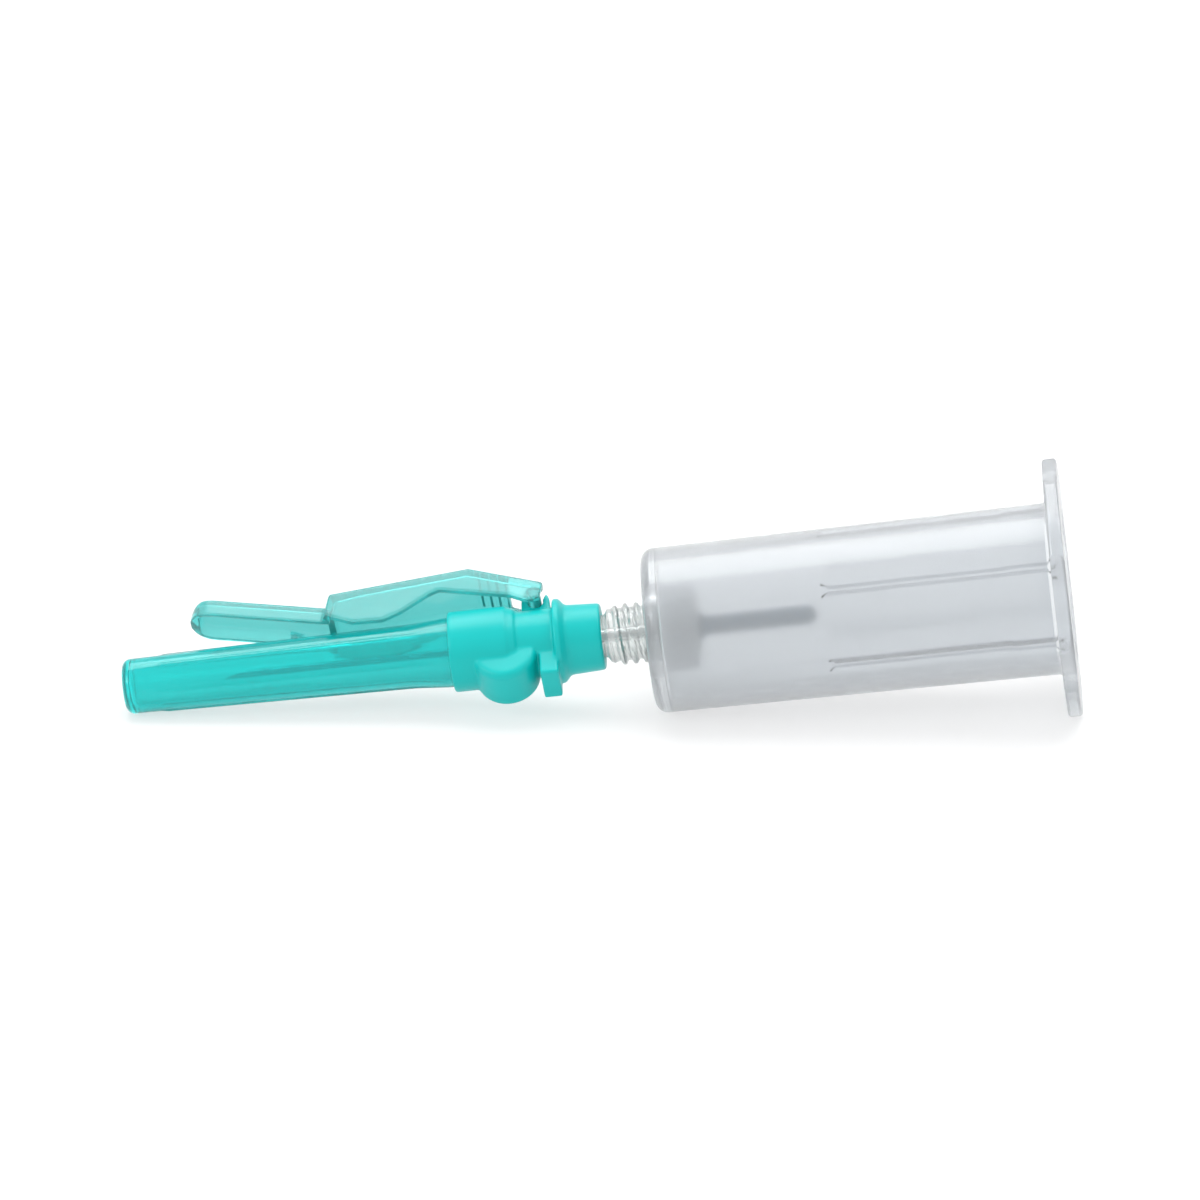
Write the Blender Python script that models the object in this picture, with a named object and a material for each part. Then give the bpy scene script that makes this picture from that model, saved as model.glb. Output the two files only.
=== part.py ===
"""Blood collection needle with its safety shield, cap and tube holder.

Everything is drawn in the device's own frame: X runs along the needle, with the front face of the
tube holder at 0, the patient end of the needle towards -X and the tube end towards +X. Z is up and
-Y is the near side. At the end the whole device is tipped about Y and lifted, so that it lies on a
floor at z = 0 on the tip of its cap and on the flat end of its flange. All lengths are in metres.
"""
import math

import bmesh
import bpy
from mathutils import Matrix, Vector

# Fits between pieces, and the small slopes that every moulding has
SEAT_GAP = 0.0003
RUNNING_GAP = 0.00015
EDGE = 0.0002
LEAD_IN = 0.0003
OVERRUN = 0.001

# Cannula: 21 gauge, thin wall
CANNULA_DIAMETER = 0.00082
CANNULA_BORE = 0.00052
NEEDLE_LENGTH = 0.03175
TUBE_NEEDLE_LENGTH = 0.0128
FRONT_BEVEL_ANGLE = 14.0
REAR_BEVEL_ANGLE = 22.0
LANCET_SHARE = 0.35

# Hub: nose, seat for the collar, threaded end, nipple for the sleeve
HUB_FRONT_REACH = 0.0188
HUB_NOSE_DIAMETER = 0.0058
HUB_NOSE_TIP_DIAMETER = 0.0038
HUB_NOSE_LENGTH = 0.0021
HUB_NOSE_CHAMFER = 0.0007
HUB_SEAT_DIAMETER = 0.0050
HUB_SHOULDER_SLOPE = 0.0004
HUB_WELL_DIAMETER = 0.0023
HUB_WELL_DEPTH = 0.0022
WELL_FLOOR_SHARE = 0.8
BEAD_RISE = 0.0005
THREAD_DIAMETER = 0.0072
THREAD_DEPTH = 0.00045
THREAD_PITCH = 0.0013
THREAD_FOOT_SHARE = 0.67
THREAD_CREST_SHARE = 0.19
THREAD_OUTSIDE_LENGTH = 0.0047
THREAD_INSIDE_LENGTH = 0.0053
NIPPLE_DIAMETER = 0.0017
NIPPLE_BARB_DIAMETER = 0.0020
NIPPLE_BARB_LENGTH = 0.0009
NIPPLE_LENGTH = 0.0040
HUB_POCKET_DIAMETER = 0.0042

# Rubber sleeve over the tube-side needle
SLEEVE_DIAMETER = 0.0022
SLEEVE_WALL = 0.00042
SLEEVE_FOOT_DIAMETER = 0.0032
SLEEVE_FOOT_LENGTH = 0.0034
SLEEVE_NECK_LENGTH = 0.0009
SLEEVE_END_ROOM = 0.0008

# Tube holder
HOLDER_LENGTH = 0.0497
BARREL_FRONT_DIAMETER = 0.0194
BARREL_REAR_DIAMETER = 0.0202
BARREL_WALL = 0.0011
BARREL_CORNER_RADIUS = 0.0014
FRONT_WALL = 0.0017
FRONT_FILLET = 0.0006
BOSS_WALL = 0.0013
BOSS_REACH = 0.0056
BOSS_LEAD_IN = 0.0004
LEDGE_DEPTH = 0.0069
LEDGE_STEP = 0.00035
MOUTH_LENGTH = 0.0070
MOUTH_STEP = 0.0003
MOUTH_CHAMFER = 0.0005
FLANGE_THICKNESS = 0.0017
FLANGE_DIAMETER = 0.0304
FLANGE_HEIGHT = 0.0291
FLANGE_WIDTH = 0.0254
FLANGE_EDGE_RADIUS = 0.0004
RIB_COUNT = 6
RIB_START_ANGLE = 84.0
RIB_WIDTH = 0.0020
RIB_HEIGHT = 0.00045
RIB_ROOT = 0.0006
RIB_START = 0.0210
RIB_END_MARGIN = 0.0012

# Safety collar
COLLAR_SEAT_WALL = 0.0013
SKIRT_LENGTH = 0.0071
SKIRT_DIAMETER = 0.0095
SKIRT_WALL = 0.00045
WEB_THICKNESS = 0.0010
WEB_FILLET = 0.0004
COLLAR_RING_DIAMETER = 0.0100
COLLAR_RING_LENGTH = 0.0014
COLLAR_RING_BEHIND_PIVOT = 0.0021
PAD_RADIUS = 0.0038
PAD_REACH = 0.0066
PAD_WIDTH = 0.0060
PAD_EDGE_RADIUS = 0.0006
PAD_AHEAD_OF_PIVOT = 0.0039
TAB_LENGTH = 0.0019
TAB_REACH = 0.0063
TAB_WIDTH = 0.0050
COLLAR_ROOT = 0.0006

# Hinge of the shield
SHIELD_LEAN = 57.0
PIVOT_BACK = 0.0131
PIVOT_RADIUS = 0.0050
BAR_DIAMETER = 0.0015
HOOK_WALL = 0.0008
HOOK_WIDTH = 0.0032
HOOK_SLOT_WIDTH = 0.0012
HOOK_SLOT_ANGLE = 60.0
REST_ANGLE = 12.5

# Safety shield, in its closed place over the needle
SHIELD_REACH = 0.0409
TONGUE_LENGTH = 0.0163
TONGUE_WIDTH = 0.0052
TONGUE_TOP = 0.0014
TONGUE_TIP_TOP = 0.0009
TONGUE_RIM = -0.0010
TONGUE_WALL = 0.0006
TONGUE_END_WALL = 0.0007
TONGUE_END_WIDTH = 0.0016
WIDE_WIDTH = 0.0080
WIDE_WALL = 0.0008
STEP_TOP = 0.0024
STEP_SLOPE = 0.0005
HUMP_TOP = 0.0076
HUMP_AHEAD_OF_PIVOT = 0.0083
REAR_TOP = 0.0064
WIDE_RIM = -0.0016
WIDE_FRONT_RIM = -0.0009
WIDE_RIM_FULL = 0.0040
ARCH_RIM = 0.0040
ARCH_START = 0.0160
ARCH_FULL = 0.0112
LUG_RADIUS = 0.0015
LUG_OVERHANG = 0.0009
TOP_EDGE_RADIUS = 0.0006
HOLLOW_DROP = 0.004
HOOK_ROOM = 0.0010
HOOK_SIDE_ROOM = 0.0009
THUMB_RIDGE_COUNT = 4
THUMB_RIDGE_PITCH = 0.0011
THUMB_RIDGE_START = 0.0010
THUMB_RIDGE_RADIUS = 0.00035
THUMB_RIDGE_SINK = 0.0001
CATCH_AHEAD_OF_PIVOT = 0.0290
CATCH_LENGTH = 0.0030
CATCH_SLOPE = 0.0006
CATCH_HEIGHT = 0.0005
CATCH_RIM_MARGIN = 0.0004
CATCH_GAP = 0.0007

# Needle cap
CAP_TIP_ROOM = 0.0118
CAP_TIP_DIAMETER = 0.0065
CAP_MIDDLE_DIAMETER = 0.0074
CAP_BASE_DIAMETER = 0.0082
CAP_BASE_LENGTH = 0.0006
CAP_FLARE_LENGTH = 0.0045
CAP_WALL = 0.0008
CAP_TIP_RADIUS = 0.0010
CAP_TIP_DIMPLE = 0.00015
CAP_TIP_RIM = 0.0006
CAP_FLOOR_CHAMFER = 0.0004
CAP_RIB_COUNT = 6
CAP_RIB_HEIGHT = 0.00015
CAP_RIB_START = 0.0045
CAP_RIB_SLOPE = 0.001

# Fineness of the facets
ROUND_STEPS = 48
FINE_STEPS = 24
THREAD_STEPS = 24
THREAD_ROWS_PER_TURN = 6
THUMB_RIDGE_STEPS = 10
CORNER_STEPS = 4
MERGE = 1e-7

# Places along the needle that more than one piece depends on
HUB_FACE = -HUB_FRONT_REACH
HUB_REAR = BOSS_REACH + LEAD_IN
HUB_SHOULDER = -THREAD_OUTSIDE_LENGTH
NEEDLE_TIP = HUB_FACE - NEEDLE_LENGTH
NEEDLE_END = HUB_REAR + TUBE_NEEDLE_LENGTH
CAP_TIP = NEEDLE_TIP - CAP_TIP_ROOM
CAP_BASE = HUB_FACE + HUB_NOSE_LENGTH - SEAT_GAP
WEB_FACE = HUB_FACE + HUB_NOSE_LENGTH + SEAT_GAP
SKIRT_FRONT = WEB_FACE - SKIRT_LENGTH
COLLAR_REAR = HUB_SHOULDER - HUB_SHOULDER_SLOPE - SEAT_GAP
FLANGE_FACE = HOLDER_LENGTH - FLANGE_THICKNESS


def clear_scene():
    """Take every object out of the scene."""
    for item in list(bpy.data.objects):
        bpy.data.objects.remove(item, do_unlink=True)


def material(name, colour, roughness, metallic=0.0, transmission=0.0):
    """A plain Principled material."""
    made = bpy.data.materials.new(name)
    made.use_nodes = True
    shader = made.node_tree.nodes["Principled BSDF"]
    shader.inputs["Base Color"].default_value = (*colour, 1.0)
    shader.inputs["Roughness"].default_value = roughness
    shader.inputs["Metallic"].default_value = metallic
    shader.inputs["Transmission Weight"].default_value = transmission
    made.diffuse_color = (*colour, 1.0)
    return made


def empty(name, parent=None):
    """A frame that other objects are placed in."""
    made = bpy.data.objects.new(name, None)
    bpy.context.collection.objects.link(made)
    made.parent = parent
    return made


def finish(bm, name, parent, surface=None, sharp=32.0):
    """Turn a bmesh into a named, smooth-shaded object under its parent."""
    bmesh.ops.remove_doubles(bm, verts=bm.verts, dist=MERGE)
    bmesh.ops.recalc_face_normals(bm, faces=bm.faces)
    mesh = bpy.data.meshes.new(name)
    bm.to_mesh(mesh)
    bm.free()
    mesh.shade_smooth()
    mesh.set_sharp_from_angle(angle=math.radians(sharp))
    made = bpy.data.objects.new(name, mesh)
    bpy.context.collection.objects.link(made)
    made.parent = parent
    if surface:
        mesh.materials.append(surface)
    return made


def combine(target, tool, operation):
    """Cut, join or intersect the target with a tool that isn't shown itself."""
    tool.hide_render = True
    tool.display_type = "WIRE"
    step = target.modifiers.new(tool.name, "BOOLEAN")
    step.operation = operation
    step.solver = "EXACT"
    step.object = tool


def round_edges(item, radius):
    """Round the sharp edges of a plain block."""
    rounding = item.modifiers.new("edge", "BEVEL")
    rounding.width = radius
    rounding.segments = 2
    rounding.limit_method = "ANGLE"
    rounding.angle_limit = math.radians(50)


def arc(centre, radius, start, end, steps):
    """Points on an arc in a plane, angles in degrees from the first axis."""
    points = []
    for i in range(steps + 1):
        angle = math.radians(start + (end - start) * i / steps)
        points.append((centre[0] + radius * math.cos(angle), centre[1] + radius * math.sin(angle)))
    return points


def lathe(profile, steps, closed):
    """Turn a profile of (x, radius) points about the X axis."""
    bm = bmesh.new()
    verts = [bm.verts.new((x, 0.0, radius)) for x, radius in profile]
    edges = [bm.edges.new(pair) for pair in zip(verts, verts[1:])]
    if closed:
        edges.append(bm.edges.new((verts[-1], verts[0])))
    bmesh.ops.spin(bm, geom=verts + edges, cent=(0, 0, 0), axis=(1, 0, 0), angle=math.tau,
                   steps=steps, use_merge=True)
    bmesh.ops.remove_doubles(bm, verts=bm.verts, dist=MERGE)
    return bm


def plug(outline, steps):
    """Solid of revolution between the axis and an outline of (x, radius) points."""
    profile = [(outline[0][0], 0.0), *outline, (outline[-1][0], 0.0)]
    return lathe(profile, steps, closed=False)


def extrude(points, way):
    """Extrude a flat outline along a vector."""
    bm = bmesh.new()
    face = bm.faces.new([bm.verts.new(point) for point in points])
    grown = bmesh.ops.extrude_face_region(bm, geom=[face])
    moved = [item for item in grown["geom"] if isinstance(item, bmesh.types.BMVert)]
    bmesh.ops.translate(bm, verts=moved, vec=way)
    return bm


def loft(sections, around=False):
    """Join rings of points into one closed body, with end faces or bent round into a ring."""
    bm = bmesh.new()
    rings = [[bm.verts.new(point) for point in section] for section in sections]
    following = rings[1:] + rings[:1] if around else rings[1:]
    for near, far in zip(rings, following):
        for i in range(len(near)):
            j = (i + 1) % len(near)
            bm.faces.new((near[i], near[j], far[j], far[i]))
    if not around:
        bm.faces.new(reversed(rings[0]))
        bm.faces.new(rings[-1])
    return bm


def block(low, high):
    """A box between two corners."""
    bm = bmesh.new()
    bmesh.ops.create_cube(bm, size=1.0)
    size = [b - a for a, b in zip(low, high)]
    middle = [(a + b) / 2 for a, b in zip(low, high)]
    bmesh.ops.scale(bm, vec=size, verts=bm.verts)
    bmesh.ops.translate(bm, vec=middle, verts=bm.verts)
    return bm


def round_bar(x, z, radius, half_width, steps):
    """A round bar along Y, its axis through (x, z)."""
    outline = arc((x, z), radius, 0, 360, steps)[:-1]
    return extrude([(a, -half_width, b) for a, b in outline], (0, 2 * half_width, 0))


def turned_ring(x, radius, steps):
    """One ring of points about the X axis."""
    ring = []
    for k in range(steps):
        angle = k / steps * math.tau
        ring.append((x, radius * math.cos(angle), radius * math.sin(angle)))
    return ring


def between(place, points):
    """Read a value from a list of (place, value) points, in straight lines between them."""
    if place <= points[0][0]:
        return points[0][1]
    for (a, low), (b, high) in zip(points, points[1:]):
        if place <= b:
            return low + (high - low) * (place - a) / (b - a)
    return points[-1][1]


def make_cannula(parent, surface):
    """Double-ended steel tube, each end ground to a slanting point."""
    outer = CANNULA_DIAMETER / 2
    inner = CANNULA_BORE / 2
    profile = [(NEEDLE_TIP, outer), (NEEDLE_END, outer), (NEEDLE_END, inner), (NEEDLE_TIP, inner)]
    bm = lathe(profile, FINE_STEPS, closed=True)
    lean = math.radians(SHIELD_LEAN)
    up = Vector((0, math.sin(lean), math.cos(lean)))
    side = Vector((0, -math.cos(lean), math.sin(lean)))
    front_slant = 1 / math.tan(math.radians(FRONT_BEVEL_ANGLE))
    rear_slant = 1 / math.tan(math.radians(REAR_BEVEL_ANGLE))
    for vert in bm.verts:
        height = vert.co.dot(up) + outer
        if vert.co.x < 0:
            lancet = max(0.0, abs(vert.co.dot(side)) - outer * LANCET_SHARE) * LANCET_SHARE
            vert.co.x = NEEDLE_TIP + front_slant * (height + lancet)
        else:
            vert.co.x = NEEDLE_END - rear_slant * height
    return finish(bm, "cannula", parent, surface)


def make_bond_bead(parent, surface):
    """Ring of cured adhesive standing in the well of the hub's nose."""
    inner = CANNULA_DIAMETER / 2 + RUNNING_GAP
    outer = HUB_WELL_DIAMETER / 2 - RUNNING_GAP
    floor = HUB_FACE + HUB_WELL_DEPTH - RUNNING_GAP
    profile = [(HUB_FACE - BEAD_RISE, inner), (floor, inner), (floor, outer * WELL_FLOOR_SHARE),
               (HUB_FACE + EDGE, outer)]
    return finish(lathe(profile, FINE_STEPS, closed=True), "bond_bead", parent, surface)


def thread_rings(start, end):
    """Rings of points whose radius follows a helical ridge, fading in and out over one turn."""
    rings = []
    core = THREAD_DIAMETER / 2 - THREAD_DEPTH
    rows = round((end - start) / THREAD_PITCH * THREAD_ROWS_PER_TURN)
    flank = (THREAD_FOOT_SHARE - THREAD_CREST_SHARE) / 2
    for i in range(rows + 1):
        x = start + (end - start) * i / rows
        fade = min(1.0, (x - start) / THREAD_PITCH, (end - x) / THREAD_PITCH)
        ring = []
        for k in range(THREAD_STEPS):
            turn = k / THREAD_STEPS
            phase = ((x - start) / THREAD_PITCH - turn) % 1.0
            rise = (THREAD_FOOT_SHARE / 2 - abs(phase - 0.5)) / flank
            radius = core + THREAD_DEPTH * max(0.0, min(1.0, rise)) * fade
            angle = turn * math.tau
            ring.append((x, radius * math.cos(angle), radius * math.sin(angle)))
        rings.append(ring)
    return rings


def make_hub(parent, surface):
    """Clear moulding: nose with its well, seat for the collar, thread, and nipple for the sleeve."""
    seat = HUB_SEAT_DIAMETER / 2
    nose = HUB_NOSE_DIAMETER / 2
    core = THREAD_DIAMETER / 2 - THREAD_DEPTH
    bore = CANNULA_DIAMETER / 2 + RUNNING_GAP
    pocket = HUB_POCKET_DIAMETER / 2
    nipple = NIPPLE_DIAMETER / 2
    barb = NIPPLE_BARB_DIAMETER / 2
    well = HUB_WELL_DIAMETER / 2
    nose_end = HUB_FACE + HUB_NOSE_LENGTH
    well_floor = HUB_FACE + HUB_WELL_DEPTH
    nipple_tip = HUB_REAR - EDGE
    pocket_floor = nipple_tip - NIPPLE_LENGTH
    barb_start = nipple_tip - NIPPLE_BARB_LENGTH
    front = [(HUB_FACE, well), (HUB_FACE, HUB_NOSE_TIP_DIAMETER / 2), (HUB_FACE + HUB_NOSE_CHAMFER, nose),
             (nose_end - LEAD_IN, nose), (nose_end, seat), (HUB_SHOULDER - HUB_SHOULDER_SLOPE, seat)]
    back = [(HUB_REAR - EDGE, core), (HUB_REAR, core - EDGE), (HUB_REAR, pocket), (pocket_floor, pocket),
            (pocket_floor, nipple), (barb_start - EDGE, nipple), (barb_start, barb),
            (nipple_tip, nipple), (nipple_tip, bore), (well_floor, bore),
            (well_floor, well * WELL_FLOOR_SHARE)]
    rings = [turned_ring(x, radius, THREAD_STEPS) for x, radius in front]
    rings += thread_rings(HUB_SHOULDER, THREAD_INSIDE_LENGTH)
    rings += [turned_ring(x, radius, THREAD_STEPS) for x, radius in back]
    return finish(loft(rings, around=True), "needle_hub", parent, surface)


def make_sleeve(parent, surface):
    """Closed rubber sleeve: a foot stretched over the nipple, then a plain tube with a round end."""
    outer = SLEEVE_DIAMETER / 2
    inner = outer - SLEEVE_WALL
    foot = SLEEVE_FOOT_DIAMETER / 2
    foot_start = HUB_REAR - SLEEVE_FOOT_LENGTH
    foot_bore = NIPPLE_BARB_DIAMETER / 2 + RUNNING_GAP
    neck = HUB_REAR + SLEEVE_NECK_LENGTH
    cavity_end = NEEDLE_END + SLEEVE_END_ROOM
    end = cavity_end + SLEEVE_WALL
    dome = arc((end - outer, 0.0), outer, 0, 90, CORNER_STEPS)
    outside = [*dome, (neck, outer), (HUB_REAR + EDGE, foot), (foot_start + EDGE, foot)]
    inside = [(foot_start, foot - EDGE), (foot_start, foot_bore), (HUB_REAR, foot_bore), (neck, inner),
              (cavity_end - LEAD_IN, inner), (cavity_end, 0.0)]
    bm = lathe(outside + inside, FINE_STEPS, closed=False)
    return finish(bm, "rubber_sleeve", parent, surface)


def flange_outline():
    """Round flange with flats cut at its top, bottom and sides, corners left by the circle."""
    half_height = FLANGE_HEIGHT / 2
    half_width = FLANGE_WIDTH / 2
    points = []
    for k in range(ROUND_STEPS):
        angle = (k + 0.5) / ROUND_STEPS * math.tau
        across = FLANGE_DIAMETER / 2 * math.cos(angle)
        up = FLANGE_DIAMETER / 2 * math.sin(angle)
        across = max(-half_width, min(half_width, across))
        up = max(-half_height, min(half_height, up))
        points.append((FLANGE_FACE, across, up))
    return points


def make_barrel(parent, surface):
    """Barrel with its front wall, threaded boss, inner ledge and stepped mouth."""
    front = BARREL_FRONT_DIAMETER / 2
    rear = BARREL_REAR_DIAMETER / 2
    ledge = front - BARREL_WALL - LEDGE_STEP
    mouth = rear - BARREL_WALL
    mouth_start = HOLDER_LENGTH - MOUTH_LENGTH
    thread = THREAD_DIAMETER / 2 + RUNNING_GAP
    boss = thread + BOSS_WALL
    corner = BARREL_CORNER_RADIUS
    outside = [(0.0, thread + BOSS_LEAD_IN)]
    outside += arc((corner, front - corner), corner, 180, 90, CORNER_STEPS)
    outside += [(FLANGE_FACE, rear), (HOLDER_LENGTH, rear)]
    inside = [(HOLDER_LENGTH, mouth + MOUTH_CHAMFER), (HOLDER_LENGTH - MOUTH_CHAMFER, mouth),
              (mouth_start, mouth), (mouth_start - MOUTH_STEP, mouth - MOUTH_STEP),
              (LEDGE_DEPTH + EDGE, front - BARREL_WALL), (LEDGE_DEPTH, ledge),
              (FRONT_WALL + FRONT_FILLET, ledge), (FRONT_WALL, ledge - FRONT_FILLET)]
    inner_boss = [(FRONT_WALL, boss), (BOSS_REACH, boss - EDGE), (BOSS_REACH, thread + LEAD_IN),
                  (BOSS_REACH - LEAD_IN, thread), (BOSS_LEAD_IN, thread)]
    bm = lathe(outside + inside + inner_boss, ROUND_STEPS, closed=True)
    return finish(bm, "tube_holder", parent, surface)


def guide_rib(number, parent):
    """One of the low ribs that centre a tube in the barrel, following the barrel's draft."""
    surface = BARREL_FRONT_DIAMETER / 2 - BARREL_WALL
    widening = (BARREL_REAR_DIAMETER - BARREL_FRONT_DIAMETER) / 2
    end = HOLDER_LENGTH - RIB_END_MARGIN
    half = RIB_WIDTH / 2
    sections = []
    for x, shift in ((RIB_START, 0.0), (RIB_START + OVERRUN, widening / 2), (end, widening)):
        low = surface + shift - RIB_HEIGHT
        high = surface + shift + RIB_ROOT
        sections.append([(x, -half, low), (x, half, low), (x, half, high), (x, -half, high)])
    rib = loft(sections)
    angle = math.radians(RIB_START_ANGLE + number * 360.0 / RIB_COUNT)
    bmesh.ops.rotate(rib, verts=rib.verts, matrix=Matrix.Rotation(angle, 3, "X"))
    return finish(rib, f"guide_rib_{number + 1}", parent)


def make_holder(parent, surface):
    """Tube holder: barrel, trimmed flange and guide ribs as one moulding."""
    holder = make_barrel(parent, surface)
    mouth = BARREL_REAR_DIAMETER / 2 - BARREL_WALL + MOUTH_CHAMFER
    plate = extrude(flange_outline(), (FLANGE_THICKNESS, 0, 0))
    plate = finish(plate, "flange_plate", parent)
    round_edges(plate, FLANGE_EDGE_RADIUS)
    opening = plug([(FLANGE_FACE - OVERRUN, mouth), (HOLDER_LENGTH + OVERRUN, mouth)], ROUND_STEPS)
    combine(plate, finish(opening, "flange_opening", parent), "DIFFERENCE")
    combine(holder, plate, "UNION")
    for number in range(RIB_COUNT):
        combine(holder, guide_rib(number, parent), "UNION")
    return holder


def collar_profile(seat, sleeve):
    """Outline of the turned part of the collar: skirt, web, sleeve and ring."""
    skirt = SKIRT_DIAMETER / 2
    skirt_bore = skirt - SKIRT_WALL
    web_back = WEB_FACE + WEB_THICKNESS
    ring = COLLAR_RING_DIAMETER / 2
    ring_start = -PIVOT_BACK + COLLAR_RING_BEHIND_PIVOT
    ring_end = ring_start + COLLAR_RING_LENGTH
    outside = [(SKIRT_FRONT, skirt - EDGE), (SKIRT_FRONT + EDGE, skirt), (WEB_FACE - EDGE, skirt),
               (WEB_FACE, skirt - EDGE), (web_back - EDGE, sleeve + WEB_FILLET), (web_back, sleeve),
               (ring_start, sleeve), (ring_start, ring), (ring_start + COLLAR_RING_LENGTH / 2, ring),
               (ring_end, sleeve + EDGE), (COLLAR_REAR - EDGE, sleeve), (COLLAR_REAR, sleeve - EDGE)]
    inside = [(COLLAR_REAR, seat), (WEB_FACE + EDGE, seat), (WEB_FACE, seat + EDGE),
              (WEB_FACE, skirt_bore - LEAD_IN), (WEB_FACE - LEAD_IN, skirt_bore),
              (SKIRT_FRONT + EDGE, skirt_bore), (SKIRT_FRONT, skirt_bore + EDGE)]
    return outside + inside


def collar_bore(parent, seat):
    """The space inside the collar, cut out of whatever is joined to it."""
    skirt_bore = SKIRT_DIAMETER / 2 - SKIRT_WALL + EDGE / 2
    outline = [(SKIRT_FRONT - OVERRUN, skirt_bore), (WEB_FACE - EDGE, skirt_bore),
               (WEB_FACE - EDGE, seat + LEAD_IN), (COLLAR_REAR + OVERRUN, seat + LEAD_IN)]
    return finish(plug(outline, ROUND_STEPS), "collar_bore", parent)


def thumb_pad(parent, bore, seat):
    """Round pad below the collar, opposite the shield."""
    middle = -PIVOT_BACK - PAD_AHEAD_OF_PIVOT
    pad = round_bar(middle, PAD_RADIUS - PAD_REACH, PAD_RADIUS, PAD_WIDTH / 2, ROUND_STEPS)
    pad = finish(pad, "thumb_pad", parent)
    round_edges(pad, PAD_EDGE_RADIUS)
    lower_half = block((middle - PAD_RADIUS - OVERRUN, -PAD_WIDTH, -PAD_REACH - OVERRUN),
                       (middle + PAD_RADIUS + OVERRUN, PAD_WIDTH, -seat))
    combine(pad, finish(lower_half, "pad_limit", parent), "INTERSECT")
    combine(pad, bore, "DIFFERENCE")
    return pad


def make_collar(parent, leaning, surface):
    """Collar snapped over the hub: turned body, thumb pad, tab and the open hook of the hinge."""
    seat = HUB_SEAT_DIAMETER / 2 + RUNNING_GAP
    sleeve = seat + COLLAR_SEAT_WALL
    profile = collar_profile(seat, sleeve)
    collar = finish(lathe(profile, ROUND_STEPS, closed=True), "safety_collar", parent, surface)
    combine(collar, thumb_pad(leaning, collar_bore(parent, seat), seat), "UNION")

    ring_start = -PIVOT_BACK + COLLAR_RING_BEHIND_PIVOT
    tab = block((ring_start - TAB_LENGTH, -TAB_WIDTH / 2, -TAB_REACH),
                (ring_start + LEAD_IN, TAB_WIDTH / 2, -seat - COLLAR_ROOT))
    combine(collar, finish(tab, "collar_tab", leaning), "UNION")

    eye = BAR_DIAMETER / 2 + RUNNING_GAP
    hook_radius = eye + HOOK_WALL
    half = HOOK_WIDTH / 2
    hook = round_bar(-PIVOT_BACK, PIVOT_RADIUS, hook_radius, half, FINE_STEPS)
    hook = finish(hook, "hinge_hook", leaning)
    foot = block((-PIVOT_BACK - hook_radius, -half, seat + COLLAR_ROOT),
                 (-PIVOT_BACK + hook_radius, half, PIVOT_RADIUS))
    combine(hook, finish(foot, "hook_foot", leaning), "UNION")
    eye_hole = round_bar(-PIVOT_BACK, PIVOT_RADIUS, eye, HOOK_WIDTH, FINE_STEPS)
    eye_hole = finish(eye_hole, "hook_eye", leaning)
    slot = block((0.0, -HOOK_WIDTH, -HOOK_SLOT_WIDTH / 2),
                 (hook_radius + OVERRUN, HOOK_WIDTH, HOOK_SLOT_WIDTH / 2))
    turn = Matrix.Rotation(-math.radians(HOOK_SLOT_ANGLE), 3, "Y")
    bmesh.ops.rotate(slot, verts=slot.verts, matrix=turn)
    bmesh.ops.translate(slot, verts=slot.verts, vec=(-PIVOT_BACK, 0, PIVOT_RADIUS))
    combine(hook, eye_hole, "DIFFERENCE")
    combine(hook, finish(slot, "hook_slot", leaning), "DIFFERENCE")
    combine(collar, hook, "UNION")
    combine(collar, eye_hole, "DIFFERENCE")
    return collar


def shield_lines():
    """Heights of the shield's roof and rim along its length, ahead of the pivot towards -X."""
    tip = -SHIELD_REACH
    step = tip + TONGUE_LENGTH
    tops = [(tip, TONGUE_TIP_TOP), (tip + OVERRUN, TONGUE_TOP), (step, TONGUE_TOP),
            (step + STEP_SLOPE, STEP_TOP), (-HUMP_AHEAD_OF_PIVOT, HUMP_TOP), (LUG_OVERHANG, REAR_TOP)]
    rise = (ARCH_RIM - WIDE_RIM) / 8
    rims = [(step, TONGUE_RIM), (step + STEP_SLOPE, WIDE_FRONT_RIM), (step + WIDE_RIM_FULL, WIDE_RIM),
            (-ARCH_START - OVERRUN, WIDE_RIM + rise), (-ARCH_START + OVERRUN, WIDE_RIM + rise * 3),
            (-ARCH_FULL - OVERRUN, ARCH_RIM - rise), (-ARCH_FULL, ARCH_RIM),
            (-LUG_RADIUS * 1.8, ARCH_RIM), (-LUG_RADIUS * 0.6, PIVOT_RADIUS - LUG_RADIUS),
            (0.0, PIVOT_RADIUS - LUG_RADIUS), (LUG_OVERHANG, PIVOT_RADIUS - LUG_RADIUS * 0.7)]
    return tops, rims


def shield_section(x, half_width, top, rim, edge):
    """Cross-section of the trough: flat at the rim, round at both edges of the roof."""
    edge = min(edge, half_width * 0.9, (top - rim) * 0.9)
    points = [(-half_width, rim)]
    points += arc((-half_width + edge, top - edge), edge, 180, 90, 3)
    points += arc((half_width - edge, top - edge), edge, 90, 0, 3)
    points.append((half_width, rim))
    return [(x, y, z) for y, z in points]


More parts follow.
